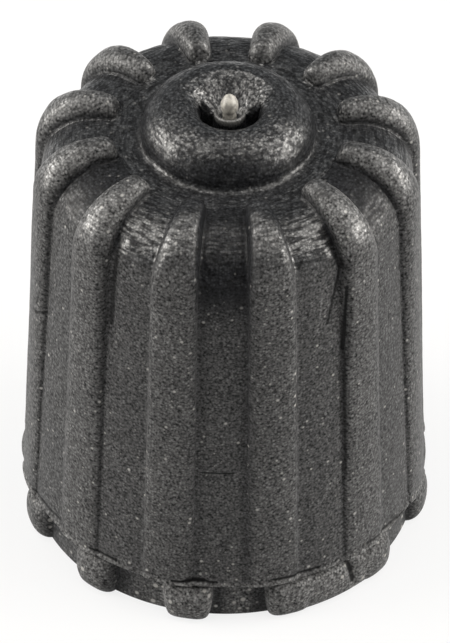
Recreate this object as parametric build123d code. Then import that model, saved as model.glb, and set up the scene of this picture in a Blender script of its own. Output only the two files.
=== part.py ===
from build123d import *
from math import radians, sin, tan
import os

# A ribbed plastic dust cap for a car tyre's valve stem, moulded in one piece.
# Millimetres and degrees. The origin is the centre of the mouth, and +Z runs up to the closed end.

# Skirt: a drafted wall with a rounded shoulder, from the parting line up to the top face
PART_LINE_Z = 1.2
TOP_Z = 11.42
GROOVE_FOOT_R = 4.9
GROOVE_DRAFT = 3.1
GROOVE_SHOULDER_R = 1.36

# Ribs: they run up the skirt, over its shoulder and in across the top face
RIB_COUNT = 12
RIB_SPAN = 14.0
RIB_FOOT_R = 5.0
RIB_DRAFT = 1.9
RIB_SHOULDER_R = 1.53
RIB_RISE = 0.4
RIB_END_R = 2.7
RIB_BEVEL = 0.16

# Foot: a band of grip lobes below the parting line, moulded in the other half of the tool
LOBE_WIDTH = 1.35
LOBE_R = 5.08
LOBE_DRAFT = 10.0
LOBE_CORNER_R = 0.35
LOBE_BEVEL = 0.12
LOBE_TWIST = 5.5
LOBE_CREVICE = 0.06
FLOOR_R = 4.68

# Ring on the top face, with a funnel inside it and the broken gate in the funnel
RING_CREST_R = 1.18
RING_RISE = 0.99
RING_CHAMFER = 0.12
DIMPLE_R = 0.76
DIMPLE_RIM_DROP = 0.23
DIMPLE_DEPTH = 1.0
DIMPLE_FLOOR_R = 0.62
GATE_CUP_R = 0.38
GATE_CUP_WALL = 0.08
GATE_CUP_DROP = 0.32
GATE_CUP_DEPTH = 0.25
GATE_STUB_R = 0.2
GATE_STUB_RISE = 0.24
GATE_STUB_BEVEL = 0.09

# Bore: an open mouth, the valve thread at its minor radius, a sealing cone and a clear pocket
MOUTH_R = 4.05
MOUTH_DEPTH = 0.8
MOUTH_CHAMFER = 0.2
THREAD_R = 3.5
THREAD_LEAD = 0.4
SEAT_RISE = 0.6
POCKET_R = 2.7
POCKET_DEPTH = 1.72
POCKET_CORNER = 0.6
TOP_WALL = 1.3

# The share of an edge's room that a rounding may take
EDGE_LIMIT = 0.95

# Sizes that follow from the ones above
RIB_TOP_Z = TOP_Z + RIB_RISE
RING_CREST_Z = TOP_Z + RING_RISE
RING_BASE_R = RING_CREST_R + RING_RISE
DIMPLE_FLOOR_Z = RING_CREST_Z - DIMPLE_DEPTH
LOBE_TOP_Z = PART_LINE_Z - LOBE_CREVICE
POCKET_TOP_Z = TOP_Z - TOP_WALL
SEAT_TOP_Z = POCKET_TOP_Z - POCKET_DEPTH
PITCH = 360 / RIB_COUNT


def turned(section, arc=360):
    """Turn a half section, drawn as radius and height, about the cap's axis."""
    return revolve(Plane.XZ * section, Axis.Z, arc)


def wall_section(inner_r, foot_r, draft, top_z, shoulder_r):
    """Half section of a drafted wall above the parting line, with a rounded shoulder."""
    corner_r = foot_r - (top_z - PART_LINE_Z) * tan(radians(draft))
    section = make_face(
        Polyline(
            (inner_r, PART_LINE_Z),
            (foot_r, PART_LINE_Z),
            (corner_r, top_z),
            (inner_r, top_z),
            close=True,
        )
    )
    corner = section.vertices().sort_by_distance((corner_r, top_z))[0]
    return fillet(corner, min(shoulder_r, EDGE_LIMIT * (corner_r - inner_r)))


def pattern(shape, start_angle):
    """Copies of a shape at every rib pitch round the axis."""
    return [place * shape for place in PolarLocations(0, RIB_COUNT, start_angle)]


def ribs():
    """Wedge ribs of constant angle, with their edges and inner ends taken off."""
    section = wall_section(RIB_END_R, RIB_FOOT_R, RIB_DRAFT, RIB_TOP_Z, RIB_SHOULDER_R)
    rib = Rot(0, 0, -RIB_SPAN / 2) * turned(section, RIB_SPAN)
    flanks = rib.faces().filter_by(GeomType.PLANE).filter_by(Axis.Z, reverse=True)
    flank_edges = flanks.edges().filter_by(lambda edge: edge.center().Z > PART_LINE_Z)
    top_face = rib.faces().sort_by(Axis.Z)[-1]
    end_edge = top_face.edges().filter_by(GeomType.CIRCLE).sort_by(SortBy.RADIUS)[0]
    end_half_width = RIB_END_R * sin(radians(RIB_SPAN / 2))
    bevel = min(RIB_BEVEL, EDGE_LIMIT * end_half_width)
    return pattern(chamfer(flank_edges + [end_edge], bevel), PITCH / 2)


def foot():
    """The band below the parting line, with its lobes turned out of line with the ribs.

    The lobes run in to the thread's radius, and the bore then cuts them back to the mouth.
    """
    band = extrude(Circle(FLOOR_R), PART_LINE_Z)
    plan = Pos((THREAD_R + LOBE_R) / 2, 0) * Rectangle(LOBE_R - THREAD_R, LOBE_WIDTH)
    plan = fillet(plan.vertices().group_by(Axis.X)[-1], LOBE_CORNER_R)
    lobe = extrude(Pos(0, 0, LOBE_TOP_Z) * plan, LOBE_TOP_Z, dir=(0, 0, -1), taper=LOBE_DRAFT)
    lobe = chamfer(lobe.faces().sort_by(Axis.Z)[-1].edges(), LOBE_BEVEL)
    return band + pattern(lobe, PITCH / 2 + LOBE_TWIST)


def ring_section():
    """Half section of the raised ring on the top face, still filled in the middle."""
    crest = (RING_CREST_R, RING_CREST_Z)
    base = (RING_BASE_R, TOP_Z)
    outside = CenterArc((RING_CREST_R, TOP_Z), RING_RISE, start_angle=0, arc_size=90)
    inside = Polyline(crest, (0, RING_CREST_Z), (0, TOP_Z), base)
    return make_face([outside, inside])


def closed_end():
    """The skirt, its top face and the ring, still solid inside, with a small chamfer round the ring."""
    wall = wall_section(0, GROOVE_FOOT_R, GROOVE_DRAFT, TOP_Z, GROOVE_SHOULDER_R)
    section = wall + ring_section()
    seam = section.vertices().sort_by_distance((RING_BASE_R, TOP_Z))[0]
    return turned(chamfer(seam, RING_CHAMFER))


def dimple():
    """The funnel inside the ring, cut round the cup and the core of the broken gate."""
    crest = (RING_CREST_R, RING_CREST_Z)
    rim = (DIMPLE_R, RING_CREST_Z - DIMPLE_RIM_DROP)
    cup_z = RING_CREST_Z - GATE_CUP_DROP
    cup_floor_z = cup_z - GATE_CUP_DEPTH
    cup_inner_r = GATE_CUP_R - GATE_CUP_WALL
    slope = TangentArc(crest, rim, tangent=(-1, 0))
    well = Polyline(
        rim,
        (DIMPLE_FLOOR_R, DIMPLE_FLOOR_Z),
        (GATE_CUP_R, DIMPLE_FLOOR_Z),
        (GATE_CUP_R, cup_z),
        (cup_inner_r, cup_z),
        (cup_inner_r, cup_floor_z),
        (GATE_STUB_R, cup_floor_z),
        (GATE_STUB_R, RING_CREST_Z),
        crest,
    )
    return turned(make_face([slope, well]))


def gate_tip():
    """The blunt end of the gate's stub, above the ring's crest."""
    top_z = RING_CREST_Z + GATE_STUB_RISE
    section = Polyline(
        (0, RING_CREST_Z),
        (GATE_STUB_R, RING_CREST_Z),
        (GATE_STUB_R, top_z - GATE_STUB_BEVEL),
        (GATE_STUB_R - GATE_STUB_BEVEL, top_z),
        (0, top_z),
        close=True,
    )
    return turned(make_face(section))


def bore():
    """The space inside: mouth, thread at its minor radius, sealing cone and pocket."""
    section = Polyline(
        (0, 0),
        (MOUTH_R + MOUTH_CHAMFER, 0),
        (MOUTH_R, MOUTH_CHAMFER),
        (MOUTH_R, MOUTH_DEPTH),
        (THREAD_R, MOUTH_DEPTH + THREAD_LEAD),
        (THREAD_R, SEAT_TOP_Z - SEAT_RISE),
        (POCKET_R, SEAT_TOP_Z),
        (POCKET_R, POCKET_TOP_Z - POCKET_CORNER),
        (POCKET_R - POCKET_CORNER, POCKET_TOP_Z),
        (0, POCKET_TOP_Z),
        close=True,
    )
    return turned(make_face(section))


def valve_cap():
    """The whole moulding."""
    cap = closed_end() + ribs() + foot()
    return cap - dimple() - bore() + gate_tip()


os.makedirs("parts", exist_ok=True)
export_step(valve_cap(), "parts/valve_cap.step")
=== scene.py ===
"""Looks of a moulded tyre valve cap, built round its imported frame.

Metres, +Z up. The origin is the centre of the mouth, and -Y faces the camera.
"""

import logging
import math
from dataclasses import dataclass, field
from enum import Enum

import bpy
import numpy as np
from bpy.types import Material, Mesh, Node, NodeSocket as Socket, NodeTree, Object
from mathutils import Matrix, Vector


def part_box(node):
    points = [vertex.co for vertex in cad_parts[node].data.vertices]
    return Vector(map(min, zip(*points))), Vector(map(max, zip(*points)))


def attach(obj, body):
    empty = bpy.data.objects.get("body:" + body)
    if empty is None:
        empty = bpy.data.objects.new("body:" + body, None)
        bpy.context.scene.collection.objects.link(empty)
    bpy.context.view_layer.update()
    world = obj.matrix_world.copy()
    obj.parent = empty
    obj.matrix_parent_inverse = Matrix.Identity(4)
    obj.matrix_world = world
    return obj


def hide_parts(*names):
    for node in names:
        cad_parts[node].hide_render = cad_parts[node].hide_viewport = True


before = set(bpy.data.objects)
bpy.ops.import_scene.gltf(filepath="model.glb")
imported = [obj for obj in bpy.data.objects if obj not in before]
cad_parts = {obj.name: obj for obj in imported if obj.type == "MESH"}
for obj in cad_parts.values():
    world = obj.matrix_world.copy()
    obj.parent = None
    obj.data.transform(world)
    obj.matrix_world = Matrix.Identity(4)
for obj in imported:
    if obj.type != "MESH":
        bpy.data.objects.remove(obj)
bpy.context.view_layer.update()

LOG = logging.getLogger("valve_cap")

MM = 0.001
WELD = 0.0005 * MM
FRONT = 270.0
BODY = "root"
NODE = "valve_cap"

Colour = tuple[float, float, float, float]
Point = tuple[float, float]
Values = float | np.ndarray


class SocketKind(Enum):
    """What a rule's named input holds."""

    LENGTH = "NodeSocketFloat"
    COUNT = "NodeSocketInt"
    OBJECT = "NodeSocketObject"
    MATERIAL = "NodeSocketMaterial"


class Side(Enum):
    """Which side of the cap a lamp hangs on."""

    LEFT = -1
    RIGHT = 1


@dataclass(frozen=True)
class Lamp:
    """One kind of soft box, hung on both sides of the cap: its angles, size, power and distance."""

    name: str
    lean: float
    pitch: float
    size: tuple[float, float]
    power: float
    distance: float = 0.25


@dataclass(frozen=True)
class Cut:
    """A straight cut or scratch in the skin, in millimetres, between two places of an angle and a height."""

    start: Point
    end: Point
    half_width: float
    depth: float
    # The colour inside the cut: below 1 it paints the shade in the cut's hollow, above 1 it makes a pale
    # scratch.
    shade: float = 0.08
    skin_r: float = 4.6 * MM

    def cover(self, wiring: "Wiring", place: Socket, swell: float = 1.0) -> Socket:
        """How far inside the cut a point lies.

        Args:
            wiring: the tree that the nodes go into.
            place: the point's position.
            swell: how many times its own width the cut is taken to have.
        Returns:
            The share, from 0 at the cut's edge to 1 in its middle.
        """
        point = wiring.add("ShaderNodeSeparateXYZ", {0: place}).outputs
        angle = wiring.math("ARCTAN2", point["Y"], point["X"])
        first = math.radians(self.start[0] - 360.0)
        run = math.radians(self.end[0] - self.start[0]) * self.skin_r
        climb = self.end[1] * MM - self.start[1] * MM
        length = math.hypot(run, climb)
        across = wiring.times(wiring.minus(angle, first), self.skin_r)
        up = wiring.minus(point["Z"], self.start[1] * MM)
        along = wiring.plus(wiring.times(across, run / length), wiring.times(up, climb / length))
        beside = wiring.minus(wiring.times(across, climb / length), wiring.times(up, run / length))
        past = wiring.minus(along, wiring.out("ShaderNodeClamp", {0: along, 1: 0.0, 2: length}))
        return wiring.remap(wiring.hypot(past, beside), 0.0, self.half_width * MM * swell, 1.0, 0.0)


CUTS = (
    Cut((308.9, 9.85), (308.1, 7.9), 0.055, 0.06),
    Cut((308.1, 7.9), (308.1, 3.9), 0.035, 0.02, shade=0.4),
    Cut((308.0, 10.35), (303.2, 8.85), 0.055, 0.05, shade=0.2),
    Cut((306.7, 11.1), (308.1, 10.4), 0.1, 0.05, shade=0.2),
    Cut((234.5, 10.9), (234.0, 8.6), 0.09, 0.05, shade=0.3),
    Cut((264.5, 4.78), (273.6, 4.8), 0.035, 0.02, shade=0.15),
    Cut((198.5, 6.97), (202.0, 7.17), 0.06, 0.05, shade=0.3),
    Cut((301.5, 9.8), (299.6, 8.7), 0.04, 0.0, shade=1.8),
    Cut((256.5, 1.3), (268.9, 1.34), 0.055, 0.04, shade=0.12),
    Cut((260.8, 1.37), (265.2, 1.37), 0.1, 0.06),
    Cut((285.0, 1.38), (299.0, 1.33), 0.055, 0.04, shade=0.15),
    Cut((230.3, 1.37), (238.9, 1.33), 0.055, 0.04, shade=0.15),
    Cut((201.0, 1.36), (219.0, 1.45), 0.05, 0.03, shade=0.3),
    Cut((314.0, 1.41), (333.0, 1.24), 0.055, 0.04, shade=0.25),
    Cut((309.2, 1.06), (310.6, 0.4), 0.1, 0.1),
)


def ramp(value: Values, low: Values, high: Values) -> Values:
    """A share that runs from 0 at one value to 1 at another, held to these ends."""
    return np.clip((value - low) / (high - low), 0.0, 1.0)


def smooth(share: np.ndarray) -> np.ndarray:
    """A share that starts and ends gently."""
    return share * share * (3.0 - 2.0 * share)


def between(value: np.ndarray, low: float, high: float) -> np.ndarray:
    """Which values lie between two others."""
    return (value > low) & (value < high)


def line(start: Point, end: Point, count: int) -> np.ndarray:
    """Evenly spaced points, as radius and height, up to the end that the next stretch starts with."""
    share = np.arange(count)[:, None] / count
    return np.array(start) + share * (np.array(end) - np.array(start))


def arc(centre: Point, radii: Point, start: float, end: float, count: int) -> np.ndarray:
    """Evenly turned points of a round stretch, between angles in degrees up from the outward direction."""
    angle = np.radians(start + (end - start) * np.arange(count) / count)
    return np.stack([centre[0] + radii[0] * np.cos(angle), centre[1] + radii[1] * np.sin(angle)], axis=1)


def linked(name: str, data: bpy.types.ID) -> Object:
    """Make an object of some data and link it to the scene."""
    thing = bpy.data.objects.new(name, data)
    bpy.context.scene.collection.objects.link(thing)
    return thing


def attribute_line(name: str, attributes: dict[str, np.ndarray]) -> Mesh:
    """Make a line of points that carries values.

    Args:
        name: the mesh's name.
        attributes: one value or one vector a point, by attribute name.
    Returns:
        The mesh.
    """
    count = len(next(iter(attributes.values())))
    mesh = bpy.data.meshes.new(name)
    mesh.from_pydata([(0.0, 0.0, 0.0)] * count, [(i, i + 1) for i in range(count - 1)], [])
    for key, values in attributes.items():
        is_vector = values.ndim == 2
        layer = mesh.attributes.new(key, "FLOAT_VECTOR" if is_vector else "FLOAT", "POINT")
        layer.data.foreach_set("vector" if is_vector else "value", values.astype(np.float32).ravel())
    return mesh


def uneven(wave: Point, wrinkle: Point, seed: float) -> dict[str, float]:
    """The inputs that make a skin uneven: height and size of its waves and of its wrinkles, and a seed."""
    return {
        "Wave Height": wave[0],
        "Wave Scale": 1 / wave[1],
        "Wrinkle Height": wrinkle[0],
        "Wrinkle Scale": 1 / wrinkle[1],
        "Seed": seed,
    }


@dataclass
class Section:
    """Rows of a half section: where each lies in a groove and on a rib's crest, and how it is treated."""

    traits = (
        "half_width", "twist", "rough", "tear", "gloss", "pale", "bare", "wear", "flank", "bruise",
        "crease", "flash", "fleck", "soft", "lean",
    )
    rows: dict[str, list[np.ndarray]] = field(default_factory=dict)

    def run(self, groove: np.ndarray, crest: np.ndarray | None = None, torn: np.ndarray | None = None,
            **traits: Values) -> None:
        """Add a stretch of rows.

        Args:
            groove: radius and height of each row between the ribs.
            crest: the same on a rib's crest, where it differs.
            torn: the same on the far side of the gate, where it differs.
            traits: the rows' traits, one value or one a row. A trait that isn't given is 0.
        """
        count = len(groove)
        for name, rows in {"groove": groove, "crest": crest, "torn": torn}.items():
            rows = groove if rows is None else rows
            self.add(name, np.stack([rows[:, 0], np.zeros(count), rows[:, 1]], axis=1))
        for name in self.traits:
            self.add(name, np.broadcast_to(traits.get(name, 0.0), (count,)))

    def add(self, name: str, values: np.ndarray) -> None:
        """Add one value a row to an attribute."""
        self.rows.setdefault(name, []).append(values)

    def mesh(self, name: str) -> Mesh:
        """A line of points that carries the rows as attributes."""
        return attribute_line(name, {key: np.concatenate(parts) for key, parts in self.rows.items()})


class Wiring:
    """Adds nodes to a tree and joins their sockets."""

    def __init__(self, tree: NodeTree) -> None:
        """Keep the tree that the nodes go into."""
        self.tree = tree

    def feed(self, node: Node, inputs: dict) -> None:
        """Give a node's inputs, by their names or numbers, the sockets or plain values that they take."""
        for key, value in inputs.items():
            if isinstance(value, Socket):
                self.tree.links.new(value, node.inputs[key])
            else:
                node.inputs[key].default_value = value

    def add(self, kind: str, inputs: dict | None = None, **settings: object) -> Node:
        """Add a node.

        Args:
            kind: the node's type.
            inputs: a socket or a plain value for each input, by its name or number.
            settings: the node's own properties.
        Returns:
            The new node.
        """
        node = self.tree.nodes.new(kind)
        for name, value in settings.items():
            setattr(node, name, value)
        self.feed(node, inputs or {})
        return node

    def out(self, kind: str, inputs: dict | None = None, **settings: object) -> Socket:
        """Add a node and return its first output, with arguments as for add."""
        return self.add(kind, inputs, **settings).outputs[0]

    def math(self, operation: str, *values: object) -> Socket:
        """Add a Math node fed with sockets or numbers, and return its result."""
        return self.out("ShaderNodeMath", dict(enumerate(values)), operation=operation)

    def plus(self, first: object, second: object) -> Socket:
        """The sum of two numbers."""
        return self.math("ADD", first, second)

    def minus(self, first: object, second: object) -> Socket:
        """The first number less the second."""
        return self.math("SUBTRACT", first, second)

    def times(self, first: object, second: object) -> Socket:
        """The product of two numbers."""
        return self.math("MULTIPLY", first, second)

    def blend(self, first: object, second: object, more: object) -> Socket:
        """The product of two numbers, plus a third."""
        return self.math("MULTIPLY_ADD", first, second, more)

    def hypot(self, first: Socket, second: Socket) -> Socket:
        """The length of two numbers at right angles."""
        return self.math("SQRT", self.plus(self.times(first, first), self.times(second, second)))

    def vector(self, operation: str, *values: object) -> Socket:
        """Add a Vector Math node fed with sockets or vectors, and return its result."""
        return self.out("ShaderNodeVectorMath", dict(enumerate(values)), operation=operation)

    def scaled(self, vector: Socket, factor: object) -> Socket:
        """A vector times a number."""
        return self.out("ShaderNodeVectorMath", {0: vector, "Scale": factor}, operation="SCALE")

    def remap(self, value: Socket, low: float, high: float, to_low: float = 0.0, to_high: float = 1.0
              ) -> Socket:
        """Map a value from one range to another, held to its ends."""
        return self.out("ShaderNodeMapRange", {"Value": value, 1: low, 2: high, 3: to_low, 4: to_high})

    def tint(self, share: Socket, low: object, high: object) -> Socket:
        """A colour between two, by a share from 0 to 1."""
        return self.add("ShaderNodeMix", {0: share, 6: low, 7: high}, data_type="RGBA").outputs[2]

    def carried(self, name: str) -> Socket:
        """A value that the points of a material's piece carry."""
        return self.add("ShaderNodeAttribute", attribute_name=name).outputs["Fac"]

    def own_place(self) -> Socket:
        """A material's point on the object's own coordinates."""
        return self.add("ShaderNodeTexCoord").outputs["Object"]

    def noise(self, place: Socket, size: float, detail: float) -> Socket:
        """Noise from 0 to 1, with grains of a size and a number of finer layers."""
        return self.out("ShaderNodeTexNoise", {"Vector": place, "Scale": 1 / size, "Detail": detail})


def new_material(name: str) -> tuple[Material, Wiring, Node]:
    """Start a material: itself, the wiring of its tree, and its shader."""
    material = bpy.data.materials.new(name)
    material.use_nodes = True
    return material, Wiring(material.node_tree), material.node_tree.nodes["Principled BSDF"]


class Rule(Wiring):
    """A Geometry Nodes tree with named inputs that turns a host mesh into a plain piece."""

    def __init__(self, name: str) -> None:
        """Start a tree that takes and gives geometry."""
        super().__init__(bpy.data.node_groups.new(name, "GeometryNodeTree"))
        for way in ("OUTPUT", "INPUT"):
            self.tree.interface.new_socket(name="Geometry", in_out=way, socket_type="NodeSocketGeometry")
        self.entry = self.tree.nodes.new("NodeGroupInput")
        self.identifiers: dict[str, str] = {}

    def input(self, name: str, kind: SocketKind = SocketKind.LENGTH) -> Socket:
        """Add a named input and return the socket that holds its value."""
        item = self.tree.interface.new_socket(name=name, in_out="INPUT", socket_type=kind.value)
        self.identifiers[name] = item.identifier
        return self.entry.outputs[name]

    def store(self, geometry: Socket, name: str, value: Socket) -> Socket:
        """Keep a value as a named attribute of the points."""
        inputs = {"Geometry": geometry, "Name": name, "Value": value}
        return self.out("GeometryNodeStoreNamedAttribute", inputs)

    def close(self, geometry: Socket) -> None:
        """End the tree: smooth, realised and dressed."""
        smooth_skin = self.out("GeometryNodeSetShadeSmooth", {"Geometry": geometry})
        real = self.out("GeometryNodeRealizeInstances", {"Geometry": smooth_skin})
        material = self.input("Material", SocketKind.MATERIAL)
        dressed = self.out("GeometryNodeSetMaterial", {"Geometry": real, "Material": material})
        self.add("NodeGroupOutput", {"Geometry": dressed})

    def make(self, name: str, host_mesh: Mesh, values: dict[str, object]) -> Object:
        """Run the tree and keep its result as a plain mesh.

        Args:
            name: the new piece's name.
            host_mesh: the mesh that the tree starts from.
            values: what each named input takes.
        Returns:
            The piece, at the origin.
        """
        host = linked(name + "_host", host_mesh)
        modifier = host.modifiers.new("rule", "NODES")
        modifier.node_group = self.tree
        for key, value in values.items():
            modifier[self.identifiers[key]] = value
        graph = bpy.context.evaluated_depsgraph_get()
        made = host.evaluated_get(graph)
        mesh = bpy.data.meshes.new_from_object(made, preserve_all_data_layers=True, depsgraph=graph)
        mesh.name = name
        mesh.materials.clear()
        mesh.materials.append(values["Material"])
        host.modifiers.clear()
        bpy.data.objects.remove(host)
        return linked(name, mesh)


class TurnedSkin(Rule):
    """Turns a section about the axis, between its groove line and its crest line, roughens it and cuts it."""

    cut_swell = 1.6
    # How much painted highlight the crest of a side rib's head takes, beside its edges.
    crest_wear = 0.45
    wave_detail = 1.0
    wrinkle_detail = 2.0

    def __init__(self) -> None:
        """Build the tree."""
        super().__init__("turned_skin")
        self.section = self.entry.outputs["Geometry"]
        turn_object = self.input("Turn Line", SocketKind.OBJECT)
        half_pitch = self.input("Half Pitch")
        self.turn_line = self.add("GeometryNodeObjectInfo", {"Object": turn_object}).outputs["Geometry"]
        rows = self.point_count(self.section)
        columns = self.point_count(self.turn_line)
        index = self.out("GeometryNodeInputIndex")
        self.column = self.out("FunctionNodeIntegerMath", {0: index, 1: rows}, operation="DIVIDE_FLOOR")
        self.row = self.out("FunctionNodeIntegerMath", {0: index, 1: rows}, operation="MODULO")
        grid = self.out("GeometryNodeMeshGrid", {"Vertices X": columns, "Vertices Y": rows})
        share = self.rib_share()
        position = self.place(half_pitch, share)
        skin = self.out("GeometryNodeSetPosition", {"Geometry": grid, "Position": position})
        for name, value in self.treatment(share).items():
            skin = self.store(skin, name, value)
        skin = self.out("GeometryNodeMergeByDistance", {"Geometry": skin, "Distance": WELD})
        self.close(self.out("GeometryNodeSetPosition", {"Geometry": skin, "Offset": self.unevenness()}))

    def point_count(self, geometry: Socket) -> Socket:
        """How many points a line has."""
        return self.out("GeometryNodeAttributeDomainSize", {"Geometry": geometry}, component="MESH")

    def named(self, name: str, kind: str = "FLOAT") -> Socket:
        """A named attribute of the geometry that the field is read on."""
        return self.out("GeometryNodeInputNamedAttribute", {"Name": name}, data_type=kind)

    def sample(self, geometry: Socket, name: str, index: Socket, kind: str) -> Socket:
        """A value of one point of a line."""
        inputs = {"Geometry": geometry, "Value": self.named(name, kind), "Index": index}
        return self.out("GeometryNodeSampleIndex", inputs, data_type=kind)

    def at_row(self, name: str, kind: str = "FLOAT") -> Socket:
        """A value of the section's row that a grid point belongs to."""
        return self.sample(self.section, name, self.row, kind)

    def at_column(self, name: str) -> Socket:
        """A value of the turn's column that a grid point belongs to."""
        return self.sample(self.turn_line, name, self.column, "FLOAT")

    def at_both(self, row_name: str, column_name: str) -> Socket:
        """A value of the row times a value of the column."""
        return self.times(self.at_row(row_name), self.at_column(column_name))

    def rib_share(self) -> Socket:
        """How far up a rib's section each grid point lies."""
        soft = self.at_both("soft", "melt")
        ends = {0: soft, 2: self.at_column("share"), 3: self.at_column("round_share")}
        return self.math("MAXIMUM", self.out("ShaderNodeMix", ends), self.at_both("flash", "fill"))

    def treatment(self, share: Socket) -> dict[str, Socket]:
        """What the material reads.

        Args:
            share: how far up a rib's section each grid point lies.
        Returns:
            The values, by attribute name.
        """
        # Painted highlight: the heads of the side ribs are paled at their edges and crests.
        edge = self.times(share, self.minus(1.0, share))
        flank = self.blend(edge, 4.0, self.times(share, self.crest_wear))
        flank = self.times(flank, self.at_column("flank"))
        pale = self.blend(self.at_row("wear"), share, self.at_row("pale"))
        pale = self.blend(self.at_row("flank"), flank, pale)
        # Painted shade: the black band under the shoulder stays only in the front groove; on crests and
        # further round, the skirt's paleness is kept.
        outside_band_share = self.math("MAXIMUM", share, self.at_column("open"))
        dull = self.blend(share, self.input("Crest Dullness"), self.at_column("dull"))
        dull = self.blend(edge, self.input("Edge Dullness"), dull)
        bright = self.math("MAXIMUM", self.minus(1.0, self.times(dull, self.at_row("crease"))), 0.0)
        # Painted shade: in the creases at the ribs' feet, and in the hollows beside the lobes on the foot.
        crease = self.blend(self.at_row("crease"), self.at_column("crease"), self.at_both("flash", "shade"))
        return {
            "rough": self.plus(self.at_row("rough"), self.at_both("tear", "rear")),
            "gloss": self.times(self.at_row("gloss"), bright),
            "pale": self.blend(self.at_row("bare"), outside_band_share, pale),
            "share": share,
            "bruise": self.at_row("bruise"),
            "fleck": self.at_row("fleck"),
            "crease": crease,
        }

    def place(self, half_pitch: Socket, share: Socket) -> Socket:
        """Where each grid point goes.

        Args:
            half_pitch: the angle from a rib's middle to the middle of the groove beside it.
            share: how far up a rib's section each grid point lies.
        Returns:
            The position.
        """
        groove = self.at_row("groove", "FLOAT_VECTOR")
        rise = self.vector("SUBTRACT", self.at_row("crest", "FLOAT_VECTOR"), groove)
        fill = self.vector("SUBTRACT", self.at_row("torn", "FLOAT_VECTOR"), groove)
        moved = self.vector("ADD", self.scaled(rise, share), self.scaled(fill, self.at_column("rear")))
        point = self.add("ShaderNodeSeparateXYZ", {0: self.vector("ADD", groove, moved)}).outputs
        across = self.at_column("across")
        on_rib = self.out("ShaderNodeClamp", {"Value": across, "Min": -1.0, "Max": 1.0})
        half_width = self.at_row("half_width")
        rib_part = self.times(on_rib, half_width)
        groove_part = self.times(self.minus(across, on_rib), self.minus(half_pitch, half_width))
        middle = self.plus(self.at_column("middle"), self.at_row("twist"))
        angle = self.plus(middle, self.plus(rib_part, groove_part))
        x = self.blend(self.math("COSINE", angle), point["X"], self.at_row("lean"))
        y = self.times(self.math("SINE", angle), point["X"])
        return self.out("ShaderNodeCombineXYZ", {"X": x, "Y": y, "Z": point["Z"]})

    def bumps(self, name: str, detail: float, seed: Socket) -> Socket:
        """Noise between -1 and 1 times a named height, at a named scale."""
        inputs = {"Scale": self.input(name + " Scale"), "Detail": detail, "W": seed}
        fac = self.out("ShaderNodeTexNoise", inputs, noise_dimensions="4D")
        return self.times(self.blend(fac, 2.0, -1.0), self.input(name + " Height"))

    def unevenness(self) -> Socket:
        """The offset along the normal that makes the skin wavy, wrinkled and cut."""
        seed = self.input("Seed")
        melt = self.blend(self.named("gloss"), self.input("Melt"), 1.0)
        wrinkle = self.times(self.bumps("Wrinkle", self.wrinkle_detail, seed), melt)
        height = self.plus(self.bumps("Wave", self.wave_detail, seed), wrinkle)
        place = self.out("GeometryNodeInputPosition")
        for cut in CUTS:
            height = self.blend(cut.cover(self, place, self.cut_swell), -cut.depth * MM, height)
        height = self.times(height, self.named("rough"))
        return self.scaled(self.out("GeometryNodeInputNormal"), height)

    def turned(self, name: str, section: Section, columns: dict[str, np.ndarray], values: dict[str, object]
               ) -> Object:
        """Turn a section into a piece.

        Args:
            name: the new piece's name.
            section: the half section.
            columns: what each column round the axis carries, by attribute name.
            values: what each of the other named inputs takes.
        Returns:
            The piece, at the origin.
        """
        turn = linked(name + "_turn", attribute_line(name + "_turn", columns))
        piece = self.make(name, section.mesh(name + "_section"), values | {"Turn Line": turn})
        bpy.data.objects.remove(turn)
        return piece


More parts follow.
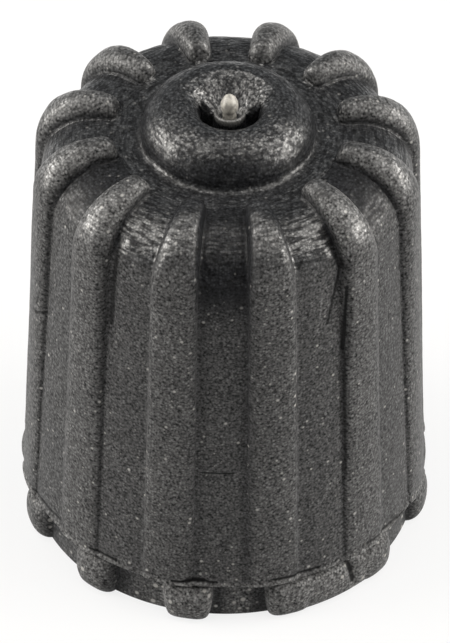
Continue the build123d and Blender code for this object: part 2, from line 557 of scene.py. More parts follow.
@dataclass(frozen=True)
class BlackPlastic:
    """Charcoal moulded plastic: grained and dusty on the skirt, black and shiny where it flowed smooth."""

    name: str = "black_plastic"
    deep: Colour = (0.0088, 0.0092, 0.0103, 1.0)
    grey_tone: Colour = (0.081, 0.081, 0.0818, 1.0)
    dust: Colour = (0.21, 0.207, 0.2, 1.0)
    specular: float = 0.08
    grit_size: float = 0.065 * MM
    grit: tuple[float, float, float] = (0.04, 1.4, 1.1)
    grit_reach: Point = (0.1, 0.7)
    grit_noise: Point = (0.28, 0.72)
    grain_size: float = 0.09 * MM
    grain_height: float = 0.016 * MM
    matte_grain: float = 0.25
    speck_gap: float = 0.22 * MM
    speck_r: float = 0.055 * MM
    speck_share: Point = (0.25, 0.85)
    speck_edge: float = 0.16
    speck_pale: float = 0.6
    bare_speck: float = 0.3
    wrinkle_size: float = 0.085 * MM
    wrinkle_stretch: float = 3.0
    wrinkle_height: float = 0.016 * MM
    wrinkle_turn_r: float = 3.0 * MM
    wrinkle_noise: Point = (0.42, 0.58)
    relief_gloss: float = 0.5
    blotch_size: float = 1.4 * MM
    blotch_noise: Point = (0.3, 0.7)
    blotch_shade: Point = (0.86, 1.08)
    # Grooves are darker than crests: painted shade in the grooves, and crests rubbed paler.
    crest_lift: float = 0.3
    groove_level: float = 0.8
    # Painted shade in creases: how far it darkens the colour and dims the coat.
    crease_shade: float = 0.25
    crease_gloss: float = 0.15
    cut_edge: float = 0.6
    roughness: Point = (0.42, 0.55)
    coat: Point = (0.1, 1.0)
    coat_grit: Point = (0.4, 1.0)
    coat_grit_end: float = 0.45
    coat_roughness: float = 0.31
    coat_ior: float = 2.0

    def wrinkles(self, wiring: Wiring) -> Socket:
        """Noise from 0 to 1, drawn out round the cap's axis. Its seam is at the back, in a groove."""
        point = wiring.add("ShaderNodeSeparateXYZ", {0: wiring.own_place()}).outputs
        turn = wiring.math("ARCTAN2", point["X"], wiring.times(point["Y"], -1.0))
        along = wiring.times(turn, self.wrinkle_turn_r / self.wrinkle_stretch)
        place = {"X": along, "Y": wiring.hypot(point["X"], point["Y"]), "Z": point["Z"]}
        return wiring.noise(wiring.out("ShaderNodeCombineXYZ", place), self.wrinkle_size, 3.0)

    def cells(self, wiring: Wiring, size: float) -> bpy.types.bpy_prop_collection:
        """Random cells on the object's own coordinates: the outputs of their node."""
        return wiring.add("ShaderNodeTexVoronoi", {"Vector": wiring.own_place(), "Scale": 1 / size}).outputs

    def grains(self, wiring: Wiring) -> Socket:
        """The pale grains in the plastic: a soft dot in each cell, of a paleness of its own."""
        cell = self.cells(wiring, self.grit_size)
        paleness = wiring.out("ShaderNodeSeparateColor", {0: cell["Color"]})
        return wiring.times(paleness, wiring.remap(cell["Distance"], *self.grit_reach, 1.0, 0.0))

    def specks(self, wiring: Wiring) -> Socket:
        """How much dust covers a point: a round speck in each cell, of a size of its own."""
        cell = self.cells(wiring, self.speck_gap)
        reach = wiring.remap(cell["Color"], *self.speck_share, 0.0, self.speck_r / self.speck_gap)
        reach = wiring.times(reach, wiring.plus(wiring.carried("fleck"), 1.0))
        cover = wiring.remap(wiring.minus(reach, cell["Distance"]), 0.0, self.speck_edge)
        pale = wiring.carried("pale")
        return wiring.times(cover, wiring.remap(pale, 0.0, self.speck_pale, self.bare_speck, 1.0))

    def colour(self, wiring: Wiring, grit: Socket, blotch: Socket, crease: Socket) -> Socket:
        """The plastic's colour: paler on crests and in blotches, gritty, dusty, with painted shade in
        grooves, creases and cuts, and painted highlights on the ribs' heads.

        Args:
            wiring: the material's tree.
            grit: the pale grains.
            blotch: the coarse noise.
            crease: how much painted shade darkens a point, at a rib's foot or beside a lobe, from 0 to 1.
        Returns:
            The colour.
        """
        # This paleness carries painted shade and painted highlights beside the plastic's own grey.
        crest = wiring.blend(wiring.carried("share"), self.crest_lift, self.groove_level)
        crest = wiring.times(crest, wiring.remap(crease, 0.0, 1.0, 1.0, self.crease_shade))
        grey_tone = wiring.times(wiring.carried("pale"), crest)
        grey_tone = wiring.times(grey_tone, wiring.remap(blotch, *self.blotch_noise, *self.blotch_shade))
        body = wiring.tint(grey_tone, self.deep, self.grey_tone)
        soft = wiring.remap(wiring.noise(wiring.own_place(), self.grit_size, 1.0), *self.grit_noise)
        ground, grains, fine = self.grit
        body = wiring.scaled(body, wiring.blend(grit, grains, wiring.blend(soft, fine, ground)))
        cover = wiring.math("MAXIMUM", self.specks(wiring), wiring.carried("bruise"))
        body = wiring.tint(cover, body, self.dust)
        # Painted shade inside the cuts; a cut with a factor above 1 is a pale scratch instead.
        place = wiring.own_place()
        skin = wiring.carried("rough")
        for cut in CUTS:
            cover = wiring.times(wiring.remap(cut.cover(wiring, place), 0.0, self.cut_edge), skin)
            body = wiring.scaled(body, wiring.remap(cover, 0.0, 1.0, 1.0, cut.shade))
        return body

    def make(self) -> Material:
        """The finished material."""
        material, wiring, shader = new_material(self.name)
        gloss = wiring.carried("gloss")
        crease = wiring.carried("crease")
        grit = self.grains(wiring)
        grain = wiring.noise(wiring.own_place(), self.grain_size, 2.0)
        wrinkle = self.wrinkles(wiring)
        blotch = wiring.noise(wiring.own_place(), self.blotch_size, 2.0)
        skin = wiring.times(gloss, wiring.remap(wrinkle, *self.wrinkle_noise, *self.coat))
        skin = wiring.times(skin, wiring.remap(grit, 0.0, self.coat_grit_end, *self.coat_grit))
        # The coat is dimmed where painted shade falls in creases.
        skin = wiring.times(skin, wiring.remap(crease, 0.0, 1.0, 1.0, self.crease_gloss))
        relief = wiring.times(wrinkle, wiring.remap(gloss, self.relief_gloss, 1.0))
        low = wiring.out("ShaderNodeBump", {"Height": relief, "Distance": self.wrinkle_height})
        grain = wiring.times(grain, wiring.remap(gloss, 0.0, 1.0, self.matte_grain, 1.0))
        fine = wiring.out("ShaderNodeBump", {"Height": grain, "Distance": self.grain_height, "Normal": low})
        wiring.feed(shader, {
            "Base Color": self.colour(wiring, grit, blotch, crease),
            "Roughness": wiring.remap(blotch, *self.blotch_noise, *self.roughness),
            "Specular IOR Level": self.specular,
            "Coat Weight": skin,
            "Coat Roughness": self.coat_roughness,
            "Coat IOR": self.coat_ior,
            "Normal": fine,
            "Coat Normal": fine,
        })
        return material


@dataclass(frozen=True)
class TornPlastic:
    """The gate's broken stub: the same plastic, paled where it was twisted off."""

    name: str = "torn_plastic"
    pale: Colour = (0.27, 0.26, 0.235, 1.0)
    dark: Colour = (0.14, 0.134, 0.122, 1.0)
    grain_size: float = 0.08 * MM
    grain_noise: Point = (0.35, 0.65)
    grain_height: float = 0.012 * MM
    roughness: float = 0.5

    def make(self) -> Material:
        """The finished material."""
        material, wiring, shader = new_material(self.name)
        grain = wiring.noise(wiring.own_place(), self.grain_size, 3.0)
        wiring.feed(shader, {
            "Base Color": wiring.tint(wiring.remap(grain, *self.grain_noise), self.dark, self.pale),
            "Roughness": self.roughness,
            "Normal": wiring.out("ShaderNodeBump", {"Height": grain, "Distance": self.grain_height}),
        })
        return material


@dataclass
class Moulding:
    """The cap's one moulding, outside and inside. Its angles are in degrees."""

    rib_count: int = 12
    parting_z: float = 1.2 * MM
    top_z: float = 11.42 * MM
    groove_foot_r: float = 4.92 * MM
    groove_draft: float = 3.1
    groove_shoulder_r: float = 1.36 * MM
    rib_half_span: float = 7.4
    rib_foot_r: float = 5.0 * MM
    rib_draft: float = 1.85
    rib_shoulder_r: float = 1.53 * MM
    rib_rise: float = 0.44 * MM
    rib_end_r: float = 2.7 * MM
    rib_end_length: float = 0.34 * MM
    rib_end_half_span: float = 6.3
    rib_end_rows: int = 9
    rib_taper_r: float = 4.6 * MM
    rib_round_r: Point = (4.7 * MM, 4.1 * MM)
    rib_power: float = 4.2
    side_rib_power: float = 2.8
    side_rib_from_front: Point = (25.0, 55.0)
    head_power: float = 2.2
    front_melt: float = 0.4
    melt_sines: Point = (-0.85, -0.35)
    # Painted shade in the creases at the ribs' feet: fullest on flanks that face the front's middle, and at
    # the front groove darker on its right side than on its left.
    crease_width: float = 0.14
    outer_crease: float = 0.85
    wall_crease: float = 0.27
    front_creases: Point = (1.5, 2.7)
    front_crease_width: float = 0.32
    crease_from_front: float = 9.5
    # Painted shade on the foot: in the hollow beside each lobe on its side toward the front's middle, and
    # over the whole foot further round the sides.
    shade_widths: Point = (1.15, 0.7)
    shade_core: float = 0.375
    shade_left_end: float = 248.0
    foot_shade: float = 0.56
    foot_shade_from_front: Point = (22.0, 32.0)
    flash_angles: Point = (285.0, 310.5)
    flash_share: float = 0.8
    lobe_half_width: float = 0.66 * MM
    lobe_r: float = 5.06 * MM
    lobe_root_r: float = 4.6 * MM
    lobe_top_z: float = 1.09 * MM
    lobe_twist: float = 5.5
    lobe_taper: float = 0.2
    lobe_powers: Point = (0.45, 0.95)
    # Painted shade: the foot turns black just under the skirt, over these depths below the lobes' tops.
    lobe_crevice: Point = (0.03 * MM, 0.15 * MM)
    floor_r: float = 4.68 * MM
    floor_edge: float = 0.1 * MM
    floor_edge_rows: int = 6
    floor_rows: int = 24
    rim_smooth_z: float = 0.3 * MM
    undercut_r: float = 4.52 * MM
    lip: float = 0.03 * MM
    ring_crest_r: float = 1.18 * MM
    ring_reach: float = 0.9 * MM
    stub_rise: float = 0.24 * MM
    ring_fillet_r: float = 0.16 * MM
    dimple_r: float = 0.76 * MM
    dimple_rim_drop: float = 0.26 * MM
    dimple_shift: float = 0.045 * MM
    dimple_depth: float = 1.0 * MM
    dimple_floor_r: float = 0.62 * MM
    cup_r: float = 0.38 * MM
    cup_foot: float = 1.05
    cup_draft: float = 0.95
    cup_wall: float = 0.08 * MM
    cup_drop: float = 0.32 * MM
    cup_depth: float = 0.25 * MM
    torn_r: float = 0.95 * MM
    torn_lift: float = 0.17 * MM
    torn_end_r: float = 0.4 * MM
    torn_end_drop: float = 0.5 * MM
    torn_rough: float = 1.6
    torn_sines: Point = (0.15, 0.5)
    dimple_rough: float = 0.6
    mouth_r: float = 4.05 * MM
    mouth_depth: float = 0.8 * MM
    mouth_chamfer: float = 0.2 * MM
    lead_z: float = 1.12 * MM
    thread_root_r: float = 3.88 * MM
    seat_z: float = 7.8 * MM
    seat_rise: float = 0.6 * MM
    pocket_r: float = 2.7 * MM
    pocket_top_z: float = 10.12 * MM
    pocket_corner: float = 0.6 * MM
    rib_columns: int = 19
    groove_columns: int = 13
    wave: Point = (0.022 * MM, 2.6 * MM)
    wrinkle: Point = (0.011 * MM, 0.45 * MM)
    melt: float = 2.2
    seed: float = 3.0
    skirt_pale: float = 0.62
    # Heights and angles of a band of painted shade under the shoulder, which stays only in the front groove.
    painted_band_z: Point = (9.2 * MM, 10.6 * MM)
    painted_band_from_front: Point = (7.0, 11.0)
    shine_z: Point = (10.75 * MM, 11.25 * MM)
    outer_r: Point = (3.5 * MM, 3.9 * MM)
    top_gloss: float = 0.8
    flat_gloss: float = 0.9
    fillet_gloss: float = 0.45
    # Painted light that lifts the shade in the ring's fillet.
    fillet_painted_light: float = 0.06
    ring_gloss: Point = (0.35, 0.45)
    ring_shine: Point = (0.5, 0.954545)
    cup_floor_gloss: float = 0.5
    cup_bruise: float = 0.32
    # Painted highlights: paler crests on the shoulder, and paler heads and edges on the side ribs.
    head_wear: float = 0.3
    flank_wear: float = 0.7
    flank_from_front: Point = (25.0, 35.0)
    crest_dullness: float = 0.2
    edge_dullness: float = 3.6
    front_dullness: float = 0.62
    front_groove_end: float = 8.0
    side_dullness: float = 0.85
    side_grooves: Point = (50.0, 70.0)
    head_dullness: float = 0.15
    side_heads: Point = (33.0, 57.0)
    foot_pale: float = 1.02
    foot_fleck: float = 0.45
    lobe_wear: float = 0.25

    @property
    def ring_crest_z(self) -> float:
        """The ring's crest: the gate's stub stands above it, up to the top of the cap's box."""
        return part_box(NODE)[1].z - self.stub_rise

    @property
    def torn_edge(self) -> Point:
        """Where the torn far side of the hole starts, as radius and height."""
        return self.torn_r, self.ring_crest_z - self.dimple_rim_drop + self.torn_lift

    @property
    def narrow(self) -> float:
        """Half the width of a rib's columns inside the ribs' ends, as an angle."""
        return math.radians(self.rib_end_half_span) * 0.5

    def wall(self, foot_r: float, draft: float, top_z: float, shoulder_r: float, inner_r: float
             ) -> np.ndarray:
        """Rows of a drafted wall, its shoulder and the top.

        Args:
            foot_r: the wall's radius at the parting line.
            draft: its draft, in degrees.
            top_z: the height of the top.
            shoulder_r: the radius of the round between the wall and the top.
            inner_r: the radius that the top runs in to.
        Returns:
            One row per point.
        """
        lean = math.radians(draft)
        shoulder_z = top_z - shoulder_r
        rise = shoulder_z - self.parting_z
        shoulder = (foot_r - (shoulder_r + rise * math.sin(lean)) / math.cos(lean), shoulder_z)
        start_z = self.parting_z + 4 * self.lip
        start = (foot_r - (start_z - self.parting_z) * math.tan(lean), start_z)
        tangent = (shoulder[0] + shoulder_r * math.cos(lean), shoulder_z + shoulder_r * math.sin(lean))
        return np.concatenate([
            line(start, tangent, 84),
            arc(shoulder, (shoulder_r, shoulder_r), draft, 90.0, 26),
            line((shoulder[0], top_z), (inner_r, top_z), 4),
        ])

    def add_bore(self, section: Section) -> None:
        """The inside, from the pocket's roof down to the mouth and out over the rim."""
        roof, corner = self.pocket_top_z, self.pocket_corner
        stretches = (
            ((0.0, roof), 3),
            ((self.pocket_r - corner, roof), 2),
            ((self.pocket_r, roof - corner), 2),
            ((self.pocket_r, self.seat_z + self.seat_rise), 3),
            ((self.thread_root_r, self.seat_z), 5),
            ((self.thread_root_r, self.lead_z), 2),
            ((self.mouth_r, self.mouth_depth), 2),
            ((self.mouth_r, self.mouth_chamfer), 2),
            ((self.mouth_r + self.mouth_chamfer, 0.0), 3),
            ((self.floor_r - self.floor_edge, 0.0), 0),
        )
        for (begin, count), (end, _) in zip(stretches, stretches[1:]):
            section.run(line(begin, end, count), pale=self.skirt_pale)

    def add_foot(self, section: Section) -> None:
        """The lobed band, from the rim up to the parting line, and the underside of the skirt."""
        edge = self.floor_edge
        straight_rows = self.floor_rows - self.floor_edge_rows
        floor = np.concatenate([
            arc((self.floor_r - edge, edge), (edge, edge), -90.0, 0.0, self.floor_edge_rows),
            line((self.floor_r, edge), (self.floor_r, self.lobe_top_z), straight_rows),
        ])
        z = floor[:, 1]
        half_height = self.lobe_top_z / 2
        angle = np.radians(np.linspace(-90.0, 90.0, self.floor_rows))
        out, up = self.lobe_powers
        knob = np.stack([
            self.lobe_root_r + (self.lobe_r - self.lobe_root_r) * np.abs(np.cos(angle)) ** out,
            half_height + half_height * np.sign(np.sin(angle)) * np.abs(np.sin(angle)) ** up,
        ], axis=1)
        half_lobe = self.lobe_half_width / self.lobe_r
        low = ramp(z, self.lobe_top_z, 0.0) ** 3
        # Painted shade in the crevice under the skirt: the foot's paleness fades to black near the lobes'
        # tops.
        under = ramp(z, *(self.lobe_top_z - drop for drop in self.lobe_crevice))
        twist = math.radians(self.lobe_twist)
        section.run(
            floor, knob, half_width=half_lobe * (1.0 - self.lobe_taper * low), twist=twist,
            rough=ramp(z, 0.0, self.rim_smooth_z), flash=1.0, fleck=self.foot_fleck,
            pale=self.foot_pale * under, wear=self.lobe_wear * under,
        )
        # The undercut and the lip's lowest rows stay black: painted shade under the skirt.
        undercut = (self.undercut_r, self.parting_z)
        section.run(line(undercut, undercut, 1), half_width=half_lobe, twist=twist)
        section.run(
            self.lip_rows(self.groove_foot_r), self.lip_rows(self.rib_foot_r),
            half_width=math.radians(self.rib_half_span), rough=1.0, pale=np.repeat([0.0, 1.0], [2, 6]),
        )

    def lip_rows(self, foot_r: float) -> np.ndarray:
        """The skirt's lower edge: a small flash lip that stands out at the parting line."""
        lip, z = self.lip, self.parting_z
        return np.concatenate([
            line((foot_r - 2 * lip, z), (foot_r, z), 2),
            arc((foot_r, z + lip), (lip, lip), -90.0, 60.0, 4),
            line((foot_r + lip * 0.4, z + 2.2 * lip), (foot_r, z + 4 * lip), 2),
        ])

    def add_skirt(self, section: Section) -> None:
        """The ribbed wall, its shoulder and the top face, in to the ring."""
        end_r = self.rib_end_r + self.rib_end_length
        rib_top = self.top_z + self.rib_rise
        groove = self.wall(self.groove_foot_r, self.groove_draft, self.top_z, self.groove_shoulder_r, end_r)
        crest = self.wall(self.rib_foot_r, self.rib_draft, rib_top, self.rib_shoulder_r, end_r)
        radius, z = crest[:, 0], crest[:, 1]
        # Painted shade: the skirt fades to black under the shoulder, and the paleness kept beside the band
        # limits it to the front groove.
        dark = smooth(ramp(z, *self.painted_band_z))
        shine = ramp(z, *self.shine_z)
        outer = ramp(radius, *self.outer_r)
        inward = ramp(radius, self.rib_taper_r, end_r)
        half = self.rib_half_span + (self.rib_end_half_span - self.rib_half_span) * inward
        section.run(
            groove, crest, half_width=np.radians(half), rough=1.0,
            gloss=shine * (self.top_gloss + (1.0 - self.top_gloss) * outer),
            pale=self.skirt_pale * (1.0 - dark), bare=self.skirt_pale * (dark - shine),
            # Painted highlights on the shoulder's crests and on the side ribs' heads.
            wear=self.head_wear * shine * outer, flank=self.flank_wear * shine,
            # Painted shade in the creases: faint on the walls, full on the shoulder and at the ribs' ends.
            soft=ramp(radius, *self.rib_round_r), crease=self.wall_crease + (1.0 - self.wall_crease) * shine,
        )
        rounding = np.radians(np.arange(self.rib_end_rows) * 10.0)
        end = np.stack([
            end_r - self.rib_end_length * np.sin(rounding),
            self.top_z + self.rib_rise * np.cos(rounding),
        ], axis=1)
        foot = np.stack([end[:, 0], np.full(self.rib_end_rows, self.top_z)], axis=1)
        taper = np.radians(self.rib_end_half_span) * (1.0 - np.sin(rounding) ** 4) ** 0.25
        section.run(
            foot, end, half_width=taper, rough=1.0, gloss=self.top_gloss, flank=self.flank_wear,
            soft=1.0, crease=1.0,
        )

    def add_ring(self, section: Section) -> None:
        """The raised ring, from its fillet over its crest to the dimple's rim."""
        rise = self.ring_crest_z - self.top_z
        fillet = self.ring_fillet_r
        reach = math.sqrt((rise + fillet) ** 2 - fillet**2)
        meet = math.degrees(math.atan2(fillet, reach))
        squeeze = self.ring_reach / rise
        base_r = self.ring_crest_r + reach * squeeze
        same = {"half_width": self.narrow, "rough": 1.0}
        flat = line((self.rib_end_r, self.top_z), (base_r, self.top_z), 4)
        section.run(flat, gloss=self.flat_gloss, **same)
        section.run(
            arc((base_r, self.top_z + fillet), (fillet * squeeze, fillet), 270.0, 180.0 + meet, 6),
            gloss=self.fillet_gloss, pale=self.fillet_painted_light, **same,
        )
        side = arc((self.ring_crest_r, self.top_z), (self.ring_reach, rise), meet, 90.0, 26)
        high = ramp((side[:, 1] - self.top_z) / rise, *self.ring_shine)
        low_gloss, more_gloss = self.ring_gloss
        section.run(side, gloss=low_gloss + more_gloss * high, **same)
        inset = self.ring_crest_r - self.dimple_r
        drop = self.dimple_rim_drop
        slope_r = (inset**2 + drop**2) / (2 * drop)
        rim = 90.0 + math.degrees(math.asin(inset / slope_r))
        count = 12
        section.run(
            arc((self.ring_crest_r, self.ring_crest_z - slope_r), (slope_r, slope_r), 90.0, rim, count),
            torn=line((self.ring_crest_r, self.ring_crest_z), self.torn_edge, count),
            tear=np.linspace(0.0, self.torn_rough, count), gloss=1.0,
            lean=np.linspace(0.0, self.dimple_shift, count), **same,
        )

    def add_dimple(self, section: Section) -> None:
        """The hole inside the ring, and the cup that the gate broke out of."""
        rim_z = self.ring_crest_z - self.dimple_rim_drop
        floor_z = self.ring_crest_z - self.dimple_depth
        cup_z = self.ring_crest_z - self.cup_drop
        half_wall = self.cup_wall / 2
        inner_r = self.cup_r - self.cup_wall
        cup_floor = (inner_r * self.cup_draft, cup_z - self.cup_depth)
        cup_foot = (self.cup_r * self.cup_foot, floor_z)
        moat = np.concatenate([
            line((self.dimple_r, rim_z), (self.dimple_floor_r, floor_z), 12),
            line((self.dimple_floor_r, floor_z), cup_foot, 4),
            line(cup_foot, (self.cup_r, cup_z), 5),
        ])
        torn_foot = (self.torn_end_r, self.ring_crest_z - self.torn_end_drop)
        same = {"half_width": self.narrow, "rough": self.dimple_rough, "lean": self.dimple_shift}
        slope = line(self.torn_edge, torn_foot, len(moat))
        section.run(moat, torn=slope, tear=self.torn_rough, gloss=self.top_gloss, **same)
        cup = np.concatenate([
            arc((self.cup_r - half_wall, cup_z), (half_wall, half_wall), 0.0, 180.0, 6),
            line((inner_r, cup_z), cup_floor, 3),
        ])
        section.run(
            cup, torn=line(torn_foot, cup_floor, len(cup)), tear=self.torn_rough / 2, gloss=self.top_gloss,
            bruise=self.cup_bruise * ramp(cup[:, 1], cup_z - half_wall, cup_z), **same,
        )
        middle = (0.0, cup_floor[1])
        floor = np.concatenate([line(cup_floor, middle, 3), np.array([middle])])
        section.run(floor, gloss=self.cup_floor_gloss, **same)

    def section(self) -> Section:
        """The whole half section, from the pocket's roof round the mouth to the gate."""
        section = Section()
        for add in (self.add_bore, self.add_foot, self.add_skirt, self.add_ring, self.add_dimple):
            add(section)
        return section

    def columns(self) -> dict[str, np.ndarray]:
        """The columns round the axis.

        Returns:
            Each rib's middle, how far across it a column lies, and its treatment, by attribute name.
        """
        on_rib = np.sin(np.radians(np.linspace(-90.0, 90.0, self.rib_columns)))
        off_rib = 1.0 + 2.0 * np.arange(1, self.groove_columns) / self.groove_columns
        across = np.tile(np.concatenate([on_rib, off_rib]), self.rib_count)
        beside = np.minimum(np.abs(np.abs(across) - 1.0), np.abs(across - 3.0))
        pitch = 2 * math.pi / self.rib_count
        half_rib = math.radians(self.rib_half_span)
        middle = np.repeat((np.arange(self.rib_count) + 0.5) * pitch, len(across) // self.rib_count)
        held = np.clip(across, -1.0, 1.0)
        angle = middle + held * half_rib + (across - held) * (pitch / 2 - half_rib)
        degrees = np.degrees(angle) % 360.0
        from_front = np.abs(degrees - FRONT)

        side_rib = ramp(from_front, *self.side_rib_from_front)
        power = self.rib_power + (self.side_rib_power - self.rib_power) * side_rib
        inside = np.clip(1.0 - np.abs(across) ** power, 0.0, 1.0)
        head = np.clip(1.0 - np.abs(across) ** self.head_power, 0.0, 1.0)
        away = ramp(np.sin(angle), *self.melt_sines)

        past = np.where(across > 2.0, across - 4.0, across)
        rib = np.where(across > 2.0, middle + pitch, middle)
        inward = np.sign(past) * np.cos(rib) < 0.0
        in_groove = np.abs(past) >= 1.0
        # Painted shade in the creases at the ribs' feet, fullest on flanks that face the front's middle.
        at_front = from_front < self.crease_from_front
        crease = np.where(inward, 1.0, self.outer_crease)
        crease = np.where(at_front, np.where(degrees < FRONT, *self.front_creases), crease)
        crease_width = np.where(at_front, self.front_crease_width, self.crease_width)

        dull = np.where(from_front < self.front_groove_end, self.front_dullness, 0.0)
        dull = np.where(between(from_front, *self.side_grooves), self.side_dullness, dull) * in_groove
        dull = np.where(between(from_front, *self.side_heads) & ~in_groove, self.head_dullness, dull)

        # Painted shade on the foot: in the hollow beside each lobe on its side toward the front's middle, and
        # over the whole foot further round the sides.
        off = np.clip(np.abs(past) - 1.0, 0.0, 1.0)
        flashed = between(degrees, *self.flash_angles)
        shade_width = np.where(degrees < self.shade_left_end, *self.shade_widths)
        shade = inward * in_groove * ramp(off, shade_width, self.shade_core * shade_width)
        shade = np.maximum(shade, self.foot_shade * ramp(from_front, *self.foot_shade_from_front))

        columns = {
            "middle": middle,
            "across": across,
            "share": np.sqrt(inside),
            "round_share": np.sqrt(head),
            "melt": self.front_melt + (1.0 - self.front_melt) * away,
            "crease": crease * ramp(beside, crease_width, 0.0),
            "shade": shade * ~flashed,
            "fill": self.flash_share * flashed,
            "dull": dull,
            "flank": ramp(from_front, *self.flank_from_front),
            "open": ramp(from_front, *self.painted_band_from_front),
            "rear": smooth(ramp(np.sin(angle), *self.torn_sines)),
        }
        closed = {name: np.append(values, values[0]) for name, values in columns.items()}
        closed["middle"][-1] += 2 * math.pi
        return closed

    def build(self, rule: TurnedSkin, finish: BlackPlastic) -> Object:
        """Make the moulding and dress it.

        Args:
            rule: the rule that turns a section.
            finish: the plastic.
        Returns:
            The piece.
        """
        values = uneven(self.wave, self.wrinkle, self.seed) | {
            "Half Pitch": math.pi / self.rib_count,
            "Melt": self.melt,
            "Crest Dullness": self.crest_dullness,
            "Edge Dullness": self.edge_dullness,
            "Material": finish.make(),
        }
        piece = rule.turned("moulding", self.section(), self.columns(), values)
        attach(piece, BODY)
        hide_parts(NODE)
        return piece


@dataclass
class GateStub:
    """The stub of the gate, left standing in the cup when the cap was twisted off its runner."""

    foot_z: float = 11.75 * MM
    headroom: float = 0.035 * MM
    foot_r: float = 0.185 * MM
    head_r: float = 0.21 * MM
    head_half_height: float = 0.29 * MM
    neck_angle: float = -40.0
    lean: float = 0.04 * MM
    column_count: int = 40
    wave: Point = (0.02 * MM, 0.25 * MM)
    wrinkle: Point = (0.008 * MM, 0.08 * MM)
    seed: float = 11.0

    @property
    def top_z(self) -> float:
        """The stub's top, just under the top of the cap's box."""
        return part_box(NODE)[1].z - self.headroom

    def section(self) -> Section:
        """The stub's half section, from the middle of its foot to its rounded head."""
        head_z = self.top_z - self.head_half_height
        head = arc((0.0, head_z), (self.head_r, self.head_half_height), self.neck_angle, 90.0, 18)
        rows = np.concatenate([
            line((0.0, self.foot_z), (self.foot_r, self.foot_z), 3),
            line((self.foot_r, self.foot_z), tuple(head[0]), 8),
            head,
            np.array([(0.0, self.top_z)]),
        ])
        section = Section()
        rough = ramp(rows[:, 1], self.foot_z, self.top_z)
        section.run(rows, half_width=math.pi / 2, rough=rough, lean=self.lean)
        return section

    def columns(self) -> dict[str, np.ndarray]:
        """The columns round the stub, which is the same all round."""
        flat = np.zeros(self.column_count + 1)
        names = (
            "middle", "share", "round_share", "melt", "crease", "shade", "fill", "dull", "flank", "open",
            "rear",
        )
        return {name: flat for name in names} | {"across": np.linspace(-2.0, 2.0, self.column_count + 1)}

    def build(self, rule: TurnedSkin, finish: TornPlastic) -> Object:
        """Make the stub and dress it.

        Args:
            rule: the rule that turns a section.
            finish: the torn plastic.
        Returns:
            The piece.
        """
        values = uneven(self.wave, self.wrinkle, self.seed)
        values |= {"Half Pitch": math.pi, "Material": finish.make()}
        piece = rule.turned("gate_stub", self.section(), self.columns(), values)
        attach(piece, BODY)
        return piece


@dataclass
class StemThread:
    """The thread inside the bore, a right-handed ridge that runs up from the mouth."""

    root_r: float = 3.9 * MM
    crest_r: float = 3.5 * MM
    pitch: float = 0.794 * MM
    start_z: float = 1.15 * MM
    turns: float = 8.2
    root_width: float = 0.69 * MM
    crest_width: float = 0.2 * MM
    steps_a_turn: int = 72
    runout: float = 0.025
    pale: float = 0.62

    def rule(self) -> Rule:
        """The rule that runs a ridge along a helix."""
        rule = Rule("stem_thread")
        radius = rule.input("Root Radius")
        depth = rule.input("Depth")
        spiral = rule.out("GeometryNodeCurveSpiral", {
            "Resolution": rule.input("Steps a Turn", SocketKind.COUNT),
            "Rotations": rule.input("Turns"),
            "Start Radius": radius,
            "End Radius": radius,
            "Height": rule.input("Height"),
            "Reverse": True,
        })
        upright = rule.out("GeometryNodeSetCurveNormal", {"Curve": spiral}, mode="Z_UP")
        along = rule.out("GeometryNodeSplineParameter")
        near_end = rule.math("MINIMUM", along, rule.minus(1.0, along))
        swell = rule.math("MINIMUM", rule.math("DIVIDE", near_end, rule.input("Runout")), 1.0)
        widths = {"Bottom Width": rule.input("Root Width"), "Top Width": rule.input("Crest Width")}
        sizes = widths | {"Height": depth, "Offset": 0.0}
        profile = rule.out("GeometryNodeCurvePrimitiveQuadrilateral", sizes, mode="TRAPEZOID")
        shift = rule.out("ShaderNodeCombineXYZ", {"Y": rule.times(depth, 0.5)})
        raised = rule.out("GeometryNodeTransform", {"Geometry": profile, "Translation": shift})
        quarter = (0.0, 0.0, math.pi / 2)
        inward = rule.out("GeometryNodeTransform", {"Geometry": raised, "Rotation": quarter})
        ridge = rule.out("GeometryNodeCurveToMesh", {
            "Curve": upright, "Profile Curve": inward, "Scale": swell, "Fill Caps": True,
        })
        ridge = rule.store(ridge, "pale", rule.input("Pale"))
        lift = rule.out("ShaderNodeCombineXYZ", {"Z": rule.input("Start Height")})
        rule.close(rule.out("GeometryNodeTransform", {"Geometry": ridge, "Translation": lift}))
        return rule

    def build(self, finish: Material) -> Object:
        """Make the thread and dress it in the moulding's plastic."""
        values = {
            "Root Radius": self.root_r,
            "Height": self.pitch * self.turns,
            "Turns": self.turns,
            "Steps a Turn": self.steps_a_turn,
            "Depth": self.root_r - self.crest_r,
            "Root Width": self.root_width,
            "Crest Width": self.crest_width,
            "Start Height": self.start_z,
            "Runout": self.runout,
            "Pale": self.pale,
            "Material": finish,
        }
        piece = self.rule().make("stem_thread", bpy.data.meshes.new("thread_host"), values)
        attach(piece, BODY)
        return piece


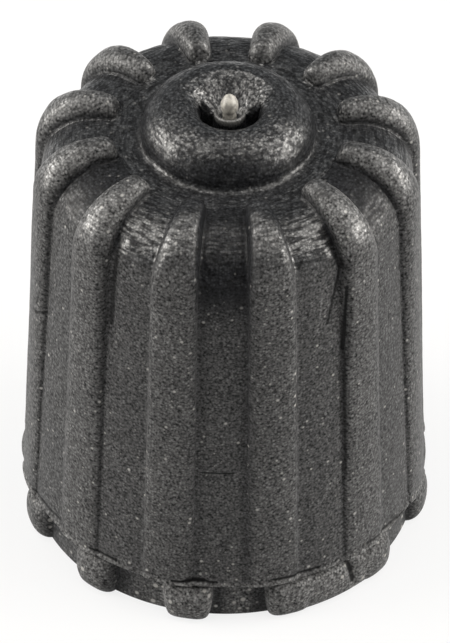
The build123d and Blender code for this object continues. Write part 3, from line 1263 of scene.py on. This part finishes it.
@dataclass
class Studio:
    """A white floor, soft boxes on both sides, a room that is dark on the camera's side, and the camera."""

    floor_r: float = 0.9
    floor_corners: int = 64
    floor_colour: Colour = (0.48, 0.48, 0.48, 1.0)
    floor_gap: float = 0.004 * MM
    floor_white: float = 0.8
    room_colour: Colour = (0.94, 0.98, 1.0, 1.0)
    room_front: float = 0.05
    room_side: float = 0.4
    room_back: float = 0.37
    room_depth: Point = (-0.8, 0.6)
    room_width: Point = (0.55, 1.0)
    lamps: tuple[Lamp, ...] = (
        Lamp("wash", lean=27.0, pitch=87.0, size=(0.16, 0.3), power=0.47),
        Lamp("core", lean=29.0, pitch=80.0, size=(0.08, 0.12), power=0.05),
        Lamp("over", lean=8.0, pitch=108.0, size=(0.07, 0.1), power=0.026),
        Lamp("side", lean=76.0, pitch=92.0, size=(0.2, 0.2), power=1.6),
    )
    lamp_colour: tuple[float, float, float] = (1.0, 0.965, 0.91)
    elevation: float = 42.439
    azimuth: float = 0.72
    roll: float = 0.623
    distance: float = 184.18 * MM
    middle_z: float = 6.0 * MM
    aim_right: float = -0.0167 * MM
    aim_up: float = -0.448 * MM
    lens: float = 426.2
    clip_start: float = 0.01

    def add_floor(self) -> None:
        """A round floor under the cap."""
        mesh = bpy.data.meshes.new("floor")
        angle = np.linspace(0.0, 2 * math.pi, self.floor_corners + 1)[:-1]
        ring = [(self.floor_r * math.cos(a), self.floor_r * math.sin(a), -self.floor_gap) for a in angle]
        mesh.from_pydata(ring, [], [list(range(len(ring)))])
        floor = linked("floor", mesh)
        material, wiring, shader = new_material("floor")
        wiring.feed(shader, {"Base Color": self.floor_colour, "Roughness": 1.0, "Specular IOR Level": 0.0})
        white = wiring.out("ShaderNodeEmission", {"Color": (1.0, 1.0, 1.0, 1.0), "Strength": 1.0})
        ray = wiring.add("ShaderNodeLightPath").outputs
        seen = wiring.math("MAXIMUM", ray["Is Camera Ray"], ray["Is Glossy Ray"])
        seen = wiring.math("MAXIMUM", seen, ray["Is Transmission Ray"])
        share = wiring.times(seen, self.floor_white)
        mix = wiring.out("ShaderNodeMixShader", {0: share, 1: shader.outputs[0], 2: white})
        wiring.feed(material.node_tree.nodes["Material Output"], {"Surface": mix})
        mesh.materials.append(material)

    def add_world(self) -> None:
        """A plain room, pale behind the cap and at its sides, and dark on the camera's side."""
        world = bpy.data.worlds.new("studio")
        bpy.context.scene.world = world
        world.use_nodes = True
        wiring = Wiring(world.node_tree)
        place = wiring.add("ShaderNodeTexCoord").outputs["Generated"]
        way = wiring.add("ShaderNodeSeparateXYZ", {0: place}).outputs
        depth = wiring.remap(way["Y"], *self.room_depth, self.room_front, self.room_back)
        side = wiring.remap(wiring.math("ABSOLUTE", way["X"]), *self.room_width, 0.0, self.room_side)
        background = world.node_tree.nodes["Background"]
        wiring.feed(background, {"Color": self.room_colour, "Strength": wiring.plus(depth, side)})

    def add_lamp(self, lamp: Lamp, side: Side) -> None:
        """Hang one soft box.

        Args:
            lamp: the kind of soft box.
            side: the side that it hangs on.
        """
        lean, pitch = math.radians(lamp.lean), math.radians(lamp.pitch)
        across = Vector((side.value * math.cos(lean), 0.0, -math.sin(lean)))
        flat = math.cos(lean)
        out = Vector((side.value * math.sin(lean), -flat * math.cos(pitch), flat * math.sin(pitch)))
        along = out.cross(across).normalized()
        across = along.cross(out)
        light = bpy.data.lights.new(f"{lamp.name}_{side.name.lower()}", "AREA")
        light.shape = "RECTANGLE"
        light.size, light.size_y = lamp.size
        light.energy = lamp.power
        light.color = self.lamp_colour
        box = linked(light.name, light)
        turn = Matrix((across, along, out)).transposed().to_4x4()
        box.matrix_world = Matrix.Translation(Vector((0.0, 0.0, self.middle_z)) + out * lamp.distance) @ turn
        box.visible_camera = False

    def add_camera(self) -> None:
        """The photograph's camera, placed by fitting the cap's outline."""
        azimuth, elevation = math.radians(self.azimuth), math.radians(self.elevation)
        flat = math.cos(elevation)
        back = Vector((math.sin(azimuth) * flat, -math.cos(azimuth) * flat, math.sin(elevation)))
        level_right = Vector((math.cos(azimuth), math.sin(azimuth), 0.0))
        level_up = back.cross(level_right)
        roll = math.radians(self.roll)
        right = level_right * math.cos(roll) + level_up * math.sin(roll)
        up = level_up * math.cos(roll) - level_right * math.sin(roll)
        aim = Vector((0.0, 0.0, self.middle_z)) + right * self.aim_right + up * self.aim_up
        data = bpy.data.cameras.new("camera")
        data.lens = self.lens
        data.clip_start = self.clip_start
        camera = linked("camera", data)
        turn = Matrix((right, up, back)).transposed().to_4x4()
        camera.matrix_world = Matrix.Translation(aim + back * self.distance) @ turn
        bpy.context.scene.camera = camera

    def build(self) -> None:
        """Set up the whole studio."""
        self.add_floor()
        self.add_world()
        for lamp in self.lamps:
            for side in Side:
                self.add_lamp(lamp, side)
        self.add_camera()
        bpy.context.scene.view_settings.view_transform = "Standard"


def report(piece: Object) -> None:
    """Log a finished piece and its triangle count."""
    piece.data.calc_loop_triangles()
    LOG.info("%s: %d triangles", piece.name, len(piece.data.loop_triangles))


def main() -> None:
    """Build the cap and the studio."""
    logging.basicConfig(level=logging.INFO, format="%(name)s %(message)s")
    turned = TurnedSkin()
    moulding = Moulding().build(turned, BlackPlastic())
    report(moulding)
    report(GateStub().build(turned, TornPlastic()))
    report(StemThread().build(moulding.data.materials[0]))
    Studio().build()


if __name__ == "__main__":
    main()
